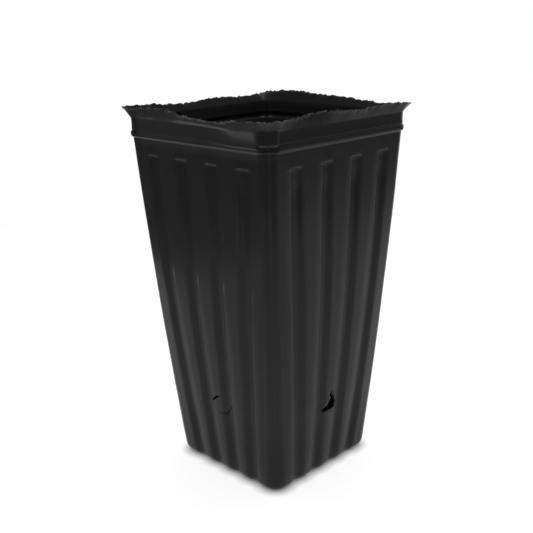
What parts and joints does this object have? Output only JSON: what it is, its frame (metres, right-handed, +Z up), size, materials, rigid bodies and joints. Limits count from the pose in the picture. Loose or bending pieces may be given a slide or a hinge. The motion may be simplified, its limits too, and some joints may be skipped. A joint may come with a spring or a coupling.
{
  "type": "deep nursery pot",
  "caption": "Deep square plant pot of thin black plastic, tapering to its foot, with fluted sides, punched side drains, a bead below the mouth and a torn flared lip.",
  "frame": {"origin": "middle of the standing face, under the middle of the mouth", "axes": "+Z up along the pot; +X and -Y square to the two sides that meet at the parting corner shown to the viewer"},
  "size_m": [0.1194, 0.1194, 0.218],
  "materials": {
    "pot_plastic": "satin black blown polyethylene"
  },
  "bodies": {
    "root": {"pot": "pot_plastic"}
  },
  "joints": []
}
